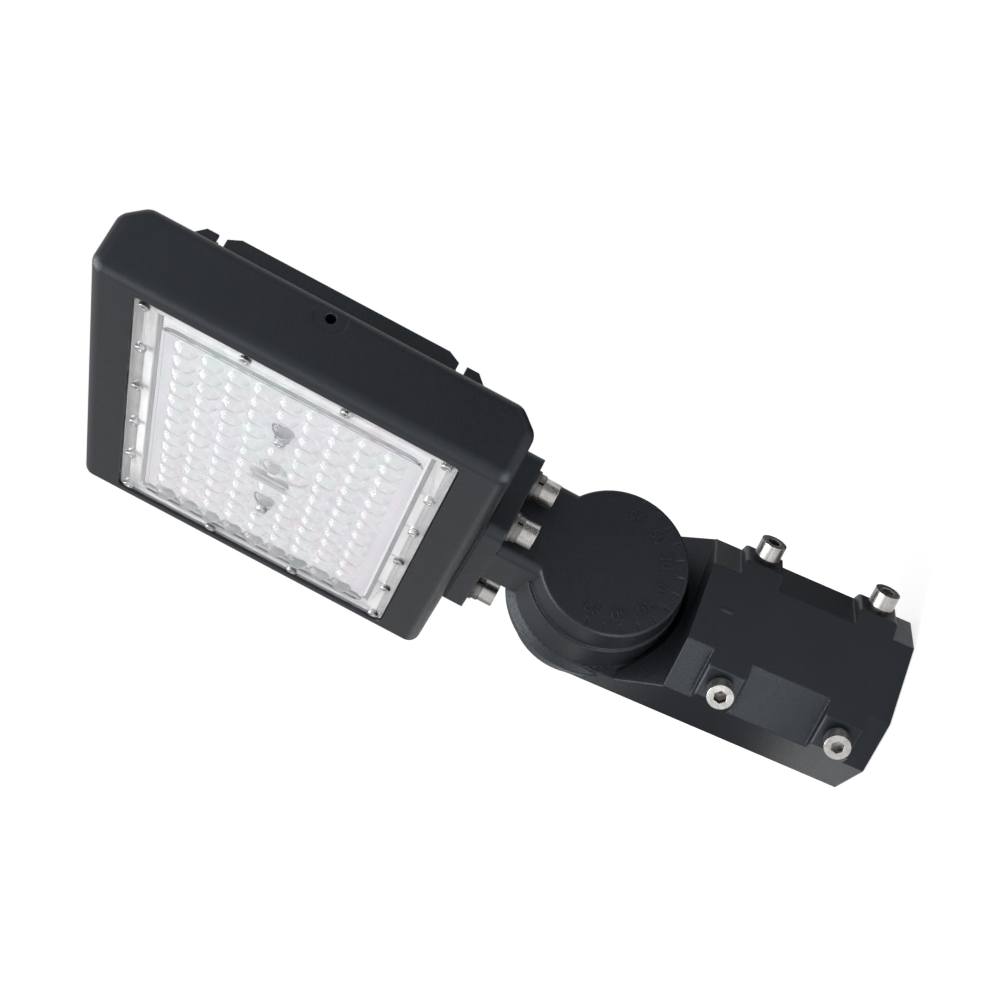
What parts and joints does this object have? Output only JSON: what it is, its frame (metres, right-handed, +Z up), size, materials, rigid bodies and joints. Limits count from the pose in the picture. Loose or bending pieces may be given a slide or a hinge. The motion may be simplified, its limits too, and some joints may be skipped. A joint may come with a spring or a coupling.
{
  "type": "led flood light",
  "caption": "Flat LED flood light head with a domed lens plate and cooling fins, on a toothed tilt knuckle and a slip fitter that clamps over a pole tenon.",
  "frame": {"origin": "centre of the tenon bore's mouth", "axes": "+Z up along the tenon axis, X along the tilt axis with the degree scale at +X, lens facing -Y"},
  "size_m": [0.278, 0.0994, 0.423],
  "materials": {
    "black_coat": "fine-textured black powder coat on die-cast aluminium",
    "steel": "stainless steel",
    "seal": "black silicone",
    "pale_seal": "white silicone",
    "clear_lens": "clear polycarbonate",
    "board": "white solder mask on an aluminium core",
    "chips": "phosphor over white",
    "white_plastic": "moulded",
    "pad": "grey silicone sheet",
    "brass": "turned",
    "driver_case": "extruded case, potted",
    "lead_cover": "wire insulation"
  },
  "bodies": {
    "fitter": {"slip_fitter": "black_coat"},
    "head": {"knuckle_upper": "black_coat", "pivot_bolt": "steel", "pivot_flat_washer": "steel", "pivot_spring_washer": "steel", "flange_bolts": "steel", "flange_spring_washers": "steel", "flange_flat_washers": "steel", "flange_gasket": "seal", "housing": "black_coat", "lens_plate": "clear_lens", "led_board": "board", "led_chips": "chips", "board_connector": "white_plastic", "thermal_pad": "pad", "lens_gasket": "pale_seal", "lens_screws": "steel", "lens_centre_screws": "steel", "cover_screws": "steel", "driver_screws": "steel", "ground_screw": "brass", "driver": "driver_case", "terminal_block": "white_plastic", "supply_leads": "lead_cover", "led_leads": "lead_cover", "wire_grommet": "seal", "cover_gasket": "seal", "driver_cover": "black_coat"},
    "front_lower_screw": {"clamp_screw_front_lower": "steel"},
    "front_upper_screw": {"clamp_screw_front_upper": "steel"},
    "back_lower_screw": {"clamp_screw_back_lower": "steel"},
    "back_upper_screw": {"clamp_screw_back_upper": "steel"}
  },
  "joints": [
    {"name": "head_tilt", "type": "hinge", "parent": "fitter", "child": "head", "pos_m": [0, 0, 0.152], "axis": [1, 0, 0], "range_deg": [-85, 95]},
    {"name": "front_lower_clamp", "type": "slide", "parent": "fitter", "child": "front_lower_screw", "axis": [-0.7071, 0.7071, 0], "range_m": [0, 0.002]},
    {"name": "front_upper_clamp", "type": "slide", "parent": "fitter", "child": "front_upper_screw", "axis": [-0.7071, 0.7071, 0], "range_m": [0, 0.002]},
    {"name": "back_lower_clamp", "type": "slide", "parent": "fitter", "child": "back_lower_screw", "axis": [-0.7071, -0.7071, 0], "range_m": [0, 0.002]},
    {"name": "back_upper_clamp", "type": "slide", "parent": "fitter", "child": "back_upper_screw", "axis": [-0.7071, -0.7071, 0], "range_m": [0, 0.002]}
  ]
}
